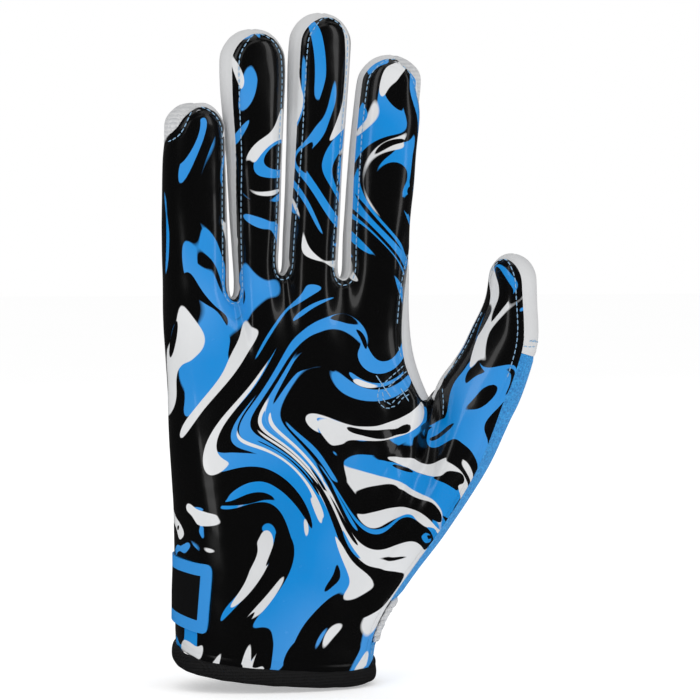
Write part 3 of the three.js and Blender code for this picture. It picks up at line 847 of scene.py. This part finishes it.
def wire_knit(tree, given):
    """Height and tone of a fine knit: wales up the cloth and courses across it. The tone is partly
    painted shade, darker in the knit's grooves, and partly random noise.
    """
    place = drifted(tree, object_place(tree), 260, (0.0004, 0.0004, 0.0004))
    axes = add_node(tree, "ShaderNodeSeparateXYZ", {0: place}).outputs
    across = maths(tree, "ADD", axes[0], axes[1])
    wale = maths(tree, "SINE", maths(tree, "MULTIPLY", across, given["Wales"]))
    ridge = maths(tree, "ABSOLUTE", wale)
    lean = maths(tree, "MULTIPLY", ridge, 1.4)
    course = maths(tree, "SINE", sloped(tree, axes[2], given["Courses"], lean))
    height = sloped(tree, course, 0.5, ridge)
    # painted shade: the tone follows the knit's height, so it is darker in the grooves, with random noise
    # over it
    groove_shade_and_tone = sloped(tree, height, 0.5, soft_noise(tree, place, scale=900, detail=1))
    return {"Height": height, "Tone": groove_shade_and_tone}


def wire_leather(tree, given):
    """Height of fine leather grain with a few soft wrinkles."""
    place = object_place(tree)
    inputs = {"Vector": place, "Scale": given["Scale"]}
    cells = add_node(tree, "ShaderNodeTexVoronoi", inputs, feature="F1").outputs["Distance"]
    wrinkles = soft_noise(tree, vectors(tree, "MULTIPLY", place, (1, 1, 0.5)), scale=170, detail=2)
    return {"Height": sloped(tree, cells, -0.35, wrinkles)}


NODE_GROUPS = {
    "marbled_print": (
        wire_print,
        {"Dark": COLOUR, "Bright": COLOUR, "Pale": COLOUR, "Fineness": NUMBER},
        {"Color": COLOUR},
    ),
    "seam_relief": (wire_seam, {"Inset": NUMBER, "Width": NUMBER}, {"Height": NUMBER}),
    "fine_knit": (wire_knit, {"Wales": NUMBER, "Courses": NUMBER}, {"Height": NUMBER, "Tone": NUMBER}),
    "leather_grain": (wire_leather, {"Scale": NUMBER}, {"Height": NUMBER}),
}


def use_group(tree, name, **inputs):
    """Adds a group of nodes, which is made and wired the first time it is asked for."""
    if name not in bpy.data.node_groups:
        wire, takes, gives = NODE_GROUPS[name]
        group = bpy.data.node_groups.new(name, "ShaderNodeTree")
        for way, sockets in (("INPUT", takes), ("OUTPUT", gives)):
            for label, kind in sockets.items():
                group.interface.new_socket(label, in_out=way, socket_type=kind)
        start = group.nodes.new("NodeGroupInput")
        end = group.nodes.new("NodeGroupOutput")
        set_inputs(group, end, wire(group, start.outputs))
    return add_node(tree, "ShaderNodeGroup", inputs, node_tree=bpy.data.node_groups[name]).outputs


def shared_material(name, paint, *values):
    """The material of that name, made the first time by a function for its tree and shader."""
    if name not in bpy.data.materials:
        material = bpy.data.materials.new(name)
        material.use_nodes = True
        tree = material.node_tree
        paint(tree, tree.nodes["Principled BSDF"], *values)
    return bpy.data.materials[name]


def bump(tree, height, strength, reach, under=None):
    """A normal that follows a height, over another normal where one is given."""
    inputs = {"Strength": strength, "Distance": reach, "Height": height}
    if under is not None:
        inputs["Normal"] = under
    return add_node(tree, "ShaderNodeBump", inputs).outputs[0]


def seamed_bump(tree, height, strength, reach):
    """The normal of a cloth's own relief, with the groove and welt of its seams over it."""
    relief = use_group(tree, "seam_relief", Inset=1.6, Width=0.8)
    under = bump(tree, height, strength, reach)
    return bump(tree, relief["Height"], strength=0.5, reach=0.0002, under=under)


def paint_grip(tree, shader):
    """Marbled print under a clear film, pulled in along its stitching."""
    inks = settings("print")
    marble = use_group(
        tree, "marbled_print",
        Dark=inks.dark, Bright=inks.bright, Pale=inks.pale, Fineness=inks.fineness,
    )
    relief = use_group(tree, "seam_relief", Inset=settings("stitches").inset / MM, Width=0.55)
    place = object_place(tree)
    shade = soft_noise(tree, place, scale=24, detail=1)
    tints = {
        "Value": sloped(tree, shade, 0.35, 0.84),
        "Saturation": sloped(tree, shade, -0.25, 1.12),
        "Color": marble[0],
    }
    slack = bump(tree, soft_noise(tree, place, scale=95, detail=1), strength=0.35, reach=0.0012)
    set_inputs(tree, shader, {
        "Base Color": add_node(tree, "ShaderNodeHueSaturation", tints).outputs[0],
        "Roughness": sloped(tree, soft_noise(tree, place, scale=300, detail=2), 0.1, 0.2),
        "Coat Weight": 0.6,
        "Coat Roughness": 0.08,
        "IOR": 1.42,
        "Normal": bump(tree, relief["Height"], strength=0.8, reach=0.00025, under=slack),
    })


def paint_leather(tree, shader):
    """White leather, a little uneven in tone."""
    dust = soft_noise(tree, object_place(tree), scale=60, detail=2)
    grain = use_group(tree, "leather_grain", Scale=1400)
    set_inputs(tree, shader, {
        "Base Color": mixed(
            tree, maths(tree, "MULTIPLY", dust, 0.5), settings("sheets").white, (0.6, 0.61, 0.63, 1),
        ),
        "Roughness": 0.52,
        "Normal": seamed_bump(tree, grain["Height"], strength=0.4, reach=0.0003),
    })


def paint_knit(tree, shader, colour, second, wales, courses, speckle):
    """Fine knit in two close tones, with a mottled grain where speckle is given. The darker tone is
    painted shade in the knit's grooves, and random tone where the noise falls.
    """
    knit = use_group(tree, "fine_knit", Wales=wales, Courses=courses)
    grain = maths(tree, "SUBTRACT", soft_noise(tree, object_place(tree), scale=1300, detail=1), 0.5)
    groove_shade_and_tone = ramp(tree, sloped(tree, grain, speckle, knit["Tone"]), 0.35, 1.25)
    set_inputs(tree, shader, {
        # painted shade: the second colour shows in the knit's grooves, and in random flecks
        "Base Color": mixed(tree, groove_shade_and_tone, second, colour),
        "Roughness": 0.78,
        "Sheen Weight": 0.05,
        "Sheen Roughness": 0.4,
        "Normal": seamed_bump(tree, knit["Height"], strength=0.5, reach=0.0002),
    })


def paint_lining(tree, shader):
    """Brushed backing on the inside of the panels."""
    fuzz = soft_noise(tree, object_place(tree), scale=1200, detail=3)
    set_inputs(tree, shader, {
        "Base Color": mixed(tree, fuzz, (0.34, 0.35, 0.37, 1), (0.5, 0.51, 0.53, 1)),
        "Roughness": 0.9,
        "Normal": bump(tree, fuzz, strength=0.4, reach=0.0002),
    })


def paint_thread(tree, shader, colour):
    """Twisted thread, with painted shade in the grooves of its twist."""
    along = vectors(tree, "DOT_PRODUCT", object_place(tree), (1, 1, 1), out=1)
    twist = maths(tree, "SINE", maths(tree, "MULTIPLY", along, 16000))
    set_inputs(tree, shader, {
        # painted shade: the thread darkens to 0.55 of its colour in the grooves of its twist
        "Base Color": scaled(tree, colour[:3], ramp(tree, twist, -1, 1, 0.55)),
        "Roughness": 0.5,
        "Normal": bump(tree, twist, strength=0.3, reach=0.0001),
    })


def paint_binding(tree, shader):
    """Black woven tape, with painted shade: darker in the grooves of its weave and a little lighter on
    its raised threads.
    """
    knit = use_group(tree, "fine_knit", Wales=5200, Courses=6000)
    set_inputs(tree, shader, {
        # painted shade: the tape is at its blackest in the weave's grooves and a little lighter on its
        # ridges
        "Base Color": mixed(tree, knit["Tone"], settings("cuff").binding, (0.009, 0.009, 0.010, 1)),
        "Roughness": 0.7,
        "Normal": bump(tree, knit["Height"], strength=0.6, reach=0.00025),
    })


def paint_label(tree, shader):
    """Bare label: a dark field in a blue frame."""
    width = settings("cuff").label_frame / MM
    field = ramp(tree, seam_distance(tree), width - 0.06, width + 0.06)
    weave = soft_noise(tree, object_place(tree), scale=1500, detail=1)
    height = sloped(tree, weave, 0.25, maths(tree, "MULTIPLY", field, -1))
    set_inputs(tree, shader, {
        "Base Color": mixed(tree, field, settings("print").bright, (0.004, 0.004, 0.005, 1)),
        "Roughness": 0.38,
        "Normal": bump(tree, height, strength=0.4, reach=0.0002),
    })


def paint_floor(tree, shader):
    """Pale studio floor that gives off a little light of its own."""
    colour = settings("stage").floor
    speck = soft_noise(tree, object_place(tree), scale=3, detail=1)
    shaded = tuple(value * FLOOR_SPECK for value in colour[:3]) + (1,)
    set_inputs(tree, shader, {
        "Base Color": mixed(tree, speck, colour, shaded),
        "Roughness": 0.9,
        "Specular IOR Level": 0,
        "Emission Color": (1, 1, 1, 1),
        "Emission Strength": 0.35,
    })


def knit_material(name, colour):
    return shared_material(name, paint_knit, colour, *KNITS[name])


# Stitching


def camera_place():
    """Where the camera stands and which way it looks."""
    values = settings("stage")
    a, e = values.azimuth, values.elevation
    back = Vector((math.sin(a) * math.cos(e), -math.cos(a) * math.cos(e), math.sin(e)))
    place = Vector(CAMERA_CENTRE) + back * values.distance
    return place, (Vector(CAMERA_AIM) - place).to_track_quat("-Z", "Y")


def eased(places, passes):
    """A row of points with its sharp turns softened."""
    for _ in range(passes):
        middle = [(a + b * 2 + c) / 4 for a, b, c in zip(places, places[1:], places[2:])]
        places = [places[0], *middle, places[-1]]
    return places


def photo_row(tree, points):
    """Places on a sheet under a line drawn on the photograph."""
    start, turn = camera_place()
    half = SENSOR / 2 / settings("stage").lens
    places = []
    for across, down in points:
        u = (across / FRAME_PIXELS * 2 - 1) * half
        v = (1 - down / FRAME_PIXELS * 2) * half
        found = tree.ray_cast(start, turn @ Vector((u, v, -1)).normalized())[0]
        if found is None:
            raise RuntimeError(f"the sheet doesn't lie under pixel {across}, {down}")
        places.append(found)
    row = []
    for a, b in zip(places, places[1:]):
        count = max(1, int((b - a).length / ROW_STEP))
        row += [tree.find_nearest(a.lerp(b, i / count))[0] for i in range(count)]
    return eased(row + places[-1:], CROTCH_EASING)


def rows_along_seam(name, wanted, inset):
    """Rows of points that follow the rims of a sheet, where wanted says so."""
    lines, tree = seam_lines[name]
    rows = []
    for line in lines:
        keep = [wanted(place, normal) for place, normal, _ in line]
        if all(keep):
            order = list(range(len(line))) + [0]
        else:
            first = keep.index(False)
            order = [(first + i) % len(line) for i in range(len(line))]
        runs = [[]]
        for i in order:
            if keep[i]:
                place, _, inward = line[i]
                runs[-1].append(tree.find_nearest(place + inward * inset)[0])
            else:
                runs.append([])
        rows += [(eased(run, SEAM_EASING), tree) for run in runs if len(run) >= ROW_LEAST]
    return rows


def stitch_model():
    """One stitch, modelled once along X on the XY plane, and given as its points and faces."""
    values = settings("stitches")
    size = (values.length / 2, values.thickness / 2, values.thickness * STITCH_HEIGHT)
    bpy.ops.object.select_all(action="DESELECT")
    bpy.ops.mesh.primitive_uv_sphere_add(segments=STITCH_SIDES, ring_count=STITCH_RINGS, radius=1)
    piece = bpy.context.object
    bpy.ops.object.mode_set(mode="EDIT")
    bpy.ops.transform.rotate(value=math.pi / 2, orient_axis="Y", center_override=(0, 0, 0))
    bpy.ops.transform.resize(value=size, center_override=(0, 0, 0))
    bpy.ops.object.mode_set(mode="OBJECT")
    points = [v.co.copy() for v in piece.data.vertices]
    faces = [tuple(p.vertices) for p in piece.data.polygons]
    bpy.data.objects.remove(piece)
    return points, faces


def even_places(places, pitch):
    """Places at an even pitch along a row of points."""
    found = []
    carried = pitch / 2
    for start, end in zip(places, places[1:]):
        length = (end - start).length
        while carried <= length and length > 0:
            found.append(start.lerp(end, carried / length))
            carried += pitch
        carried -= length
    return found


def make_stitches(name, rows, material, slot, spread=1.0):
    """A piece made of copies of one stitch along rows of points, each given with its sheet."""
    values = settings("stitches")
    points, faces = stitch_model()
    all_points = []
    all_faces = []
    for row, tree in rows:
        places = even_places(row, values.pitch * spread)
        for before, place, after in zip(places[:1] + places, places, places[1:] + places[-1:]):
            along = (after - before).normalized()
            if not along.length:
                continue
            spot, normal, _, _ = tree.find_nearest(place)
            side = normal.cross(along).normalized()
            up = along.cross(side).normalized()
            turn = Matrix((along, side, up)).transposed()
            start = len(all_points)
            seat = spot + normal * values.thickness * STITCH_SEAT
            all_points += [turn @ p + seat for p in points]
            all_faces += [tuple(start + k for k in face) for face in faces]
    if not all_points:
        raise RuntimeError(name + " has no stitches")
    mesh = bpy.data.meshes.new(name)
    mesh.from_pydata(all_points, [], all_faces)
    mesh.materials.append(material)
    piece = new_piece(mesh)
    bpy.ops.object.shade_smooth()
    place_on_frame(piece, slot)


def on_digits(place, normal):
    """Whether a seam of the palm sheet runs round a finger or the thumb."""
    x, z = place.x / MM, place.z / MM
    seen = normal.y < -0.12 or normal.z > 0.4
    return seen and (z > FINGER_FOOT or (x > THUMB_SIDE and z > THUMB_FOOT))


def on_back(place, normal):
    return normal.y > 0.1 and place.z / MM > BACK_FOOT


def above_elastic(place, normal):
    return normal.y > 0.1 and place.z / MM < ELASTIC_TOP


def below_elastic(place, normal):
    return wrist_height(place) > CUFF_STITCH_FOOT


# Stage


def add_camera(scene):
    values = settings("stage")
    place, turn = camera_place()
    bpy.ops.object.select_all(action="DESELECT")
    bpy.ops.object.camera_add(location=place)
    camera = bpy.context.object
    camera.rotation_mode = "QUATERNION"
    camera.rotation_quaternion = turn
    camera.data.lens = values.lens
    camera.data.sensor_width = SENSOR
    scene.camera = camera


def add_floor():
    bpy.ops.object.select_all(action="DESELECT")
    bpy.ops.mesh.primitive_plane_add(size=FLOOR_SIZE, location=(0, 0, CAD_BOX[0].z - FLOOR_GAP))
    floor = bpy.context.object
    floor.name = "studio_floor"
    floor.data.materials.append(shared_material("studio_floor", paint_floor))
    floor.visible_glossy = False


def add_lamp(name, place, size, power):
    bpy.ops.object.select_all(action="DESELECT")
    bpy.ops.object.light_add(type="AREA", location=place)
    lamp = bpy.context.object
    lamp.name = name
    lamp.data.shape = "RECTANGLE"
    lamp.data.size, lamp.data.size_y = size
    lamp.data.energy = power
    lamp.visible_camera = False
    lamp.rotation_mode = "QUATERNION"
    lamp.rotation_quaternion = (Vector(LAMP_AIM) - Vector(place)).to_track_quat("-Z", "Y")


def add_air(scene):
    """Soft light from all round, dimmed in reflections and plain white behind the glove."""
    values = settings("stage")
    world = bpy.data.worlds.new("studio_air")
    world.use_nodes = True
    scene.world = world
    tree = world.node_tree
    rays = add_node(tree, "ShaderNodeLightPath").outputs
    dimmed = sloped(tree, rays["Is Glossy Ray"], -values.flag, values.air)
    strength = maths(tree, "MAXIMUM", dimmed, rays["Is Camera Ray"])
    set_inputs(tree, tree.nodes["Background"], {"Strength": strength, "Color": (1, 1, 1, 1)})


# Operators


class GLOVE_OT_palm(bpy.types.Operator):
    """Make the printed palm sheet with its folds"""

    bl_idname = "glove.palm"
    bl_label = "Palm sheet"

    def execute(self, context):
        film = shared_material("grip_film", paint_grip)
        make_panel(GRIP_PANEL, "grip", film, settings("sheets").grip_wall)
        return {"FINISHED"}


class GLOVE_OT_white_panels(bpy.types.Operator):
    """Make the knit back, the leather back of the thumb and the strips between the fingers"""

    bl_idname = "glove.white_panels"
    bl_label = "White panels"

    def execute(self, context):
        values = settings("sheets")
        knit = knit_material("back_knit", values.white)
        make_panel("back_panel", "white_knit", knit, values.cloth_wall)
        leather = shared_material("grained_leather", paint_leather)
        for node in LEATHER_PANELS:
            make_panel(node, "white_leather", leather, values.cloth_wall)
        return {"FINISHED"}


class GLOVE_OT_stretch_panels(bpy.types.Operator):
    """Make the blue stretch strip of the thumb and the blue back of the cuff"""

    bl_idname = "glove.stretch_panels"
    bl_label = "Stretch panels"

    def execute(self, context):
        values = settings("sheets")
        knit = knit_material("stretch_knit", values.stretch)
        for node in STRETCH_PANELS:
            make_panel(node, "blue_stretch", knit, values.cloth_wall)
        return {"FINISHED"}


class GLOVE_OT_elastic(bpy.types.Operator):
    """Make the shirred elastic of the wrist"""

    bl_idname = "glove.elastic"
    bl_label = "Shirred elastic"

    def execute(self, context):
        knit = knit_material("shirred_knit", settings("sheets").white)
        make_solid_piece("wrist_elastic", "shirred_elastic", knit, elastic_shift)
        return {"FINISHED"}


class GLOVE_OT_binding(bpy.types.Operator):
    """Make the bound edge of the opening, with the tucks where its ends meet"""

    bl_idname = "glove.binding"
    bl_label = "Cuff binding"

    def execute(self, context):
        tape = shared_material("black_tape", paint_binding)
        make_solid_piece("cuff_binding", "black_binding", tape, binding_shift)
        return {"FINISHED"}


class GLOVE_OT_label(bpy.types.Operator):
    """Make the bare label at the little finger's side of the wrist"""

    bl_idname = "glove.label"
    bl_label = "Label"

    def execute(self, context):
        label = shared_material("bare_label", paint_label)
        make_panel("wrist_label", "label", label, LABEL_WALL, LABEL_LEVELS, corners="ALL", sink=0.0)
        return {"FINISHED"}


class GLOVE_OT_stitching(bpy.types.Operator):
    """Make the rows of thread along the seams"""

    bl_idname = "glove.stitching"
    bl_label = "Stitching"

    def execute(self, context):
        values = settings("stitches")
        blue = shared_material("blue_thread", paint_thread, values.thread)
        white = shared_material("white_thread", paint_thread, settings("sheets").white)
        palm = GRIP_PANEL + "_cloth"
        finger_rows = rows_along_seam(palm, on_digits, values.inset)
        make_stitches("finger_stitching", finger_rows, blue, "blue_stretch")
        crotch_rows = []
        for name, paths in THREAD_PATHS.items():
            tree = seam_lines[name][1]
            crotch_rows += [(photo_row(tree, points), tree) for points in paths]
        make_stitches("thumb_stitching", crotch_rows, blue, "blue_stretch")
        tree = seam_lines[palm][1]
        tacks = [(photo_row(tree, points), tree) for points in BAR_TACKS]
        make_stitches("bar_tacks", tacks, blue, "blue_stretch", TACK_SPREAD)
        back_rows = rows_along_seam("back_panel_cloth", on_back, values.back_inset)
        back_rows += rows_along_seam("back_panel_cloth", above_elastic, values.back_inset)
        back_rows += rows_along_seam("thumb_back_cloth", on_back, values.back_inset)
        make_stitches("back_stitching", back_rows, white, "white_knit")
        cuff_rows = rows_along_seam("cuff_back_cloth", below_elastic, values.back_inset)
        make_stitches("cuff_stitching", cuff_rows, blue, "blue_stretch")
        return {"FINISHED"}


class GLOVE_OT_stage(bpy.types.Operator):
    """Set up the camera, the pale floor and the soft lights"""

    bl_idname = "glove.stage"
    bl_label = "Stage"

    def execute(self, context):
        context.scene.view_settings.view_transform = "Standard"
        add_camera(context.scene)
        add_floor()
        for lamp in LAMPS:
            add_lamp(*lamp)
        add_air(context.scene)
        return {"FINISHED"}


class GLOVE_PT_sidebar(bpy.types.Panel):
    """Sizes, colours and steps of the glove"""

    bl_idname = "GLOVE_PT_sidebar"
    bl_label = "Receiver glove"
    bl_space_type = "VIEW_3D"
    bl_region_type = "UI"
    bl_category = "Glove"

    def draw(self, context):
        for name, group in GROUPS.items():
            box = self.layout.box()
            box.label(text=name.title())
            values = settings(name)
            for key in group.__annotations__:
                box.prop(values, key)
        for operator in OPERATORS:
            self.layout.operator(operator.bl_idname)


GROUPS = {
    "print": PrintSettings,
    "sheets": SheetSettings,
    "stitches": StitchSettings,
    "cuff": CuffSettings,
    "stage": StageSettings,
}
OPERATORS = (
    GLOVE_OT_palm,
    GLOVE_OT_white_panels,
    GLOVE_OT_stretch_panels,
    GLOVE_OT_elastic,
    GLOVE_OT_binding,
    GLOVE_OT_label,
    GLOVE_OT_stitching,
    GLOVE_OT_stage,
)


def register():
    for item in (*GROUPS.values(), *OPERATORS, GLOVE_PT_sidebar):
        bpy.utils.register_class(item)
    for name, group in GROUPS.items():
        setattr(bpy.types.Scene, "glove_" + name, bpy.props.PointerProperty(type=group))


def unregister():
    for name in GROUPS:
        delattr(bpy.types.Scene, "glove_" + name)
    for item in reversed((*GROUPS.values(), *OPERATORS, GLOVE_PT_sidebar)):
        bpy.utils.unregister_class(item)


def main():
    register()
    for operator in OPERATORS:
        group, name = operator.bl_idname.split(".")
        getattr(getattr(bpy.ops, group), name)()


if __name__ == "__main__":
    main()
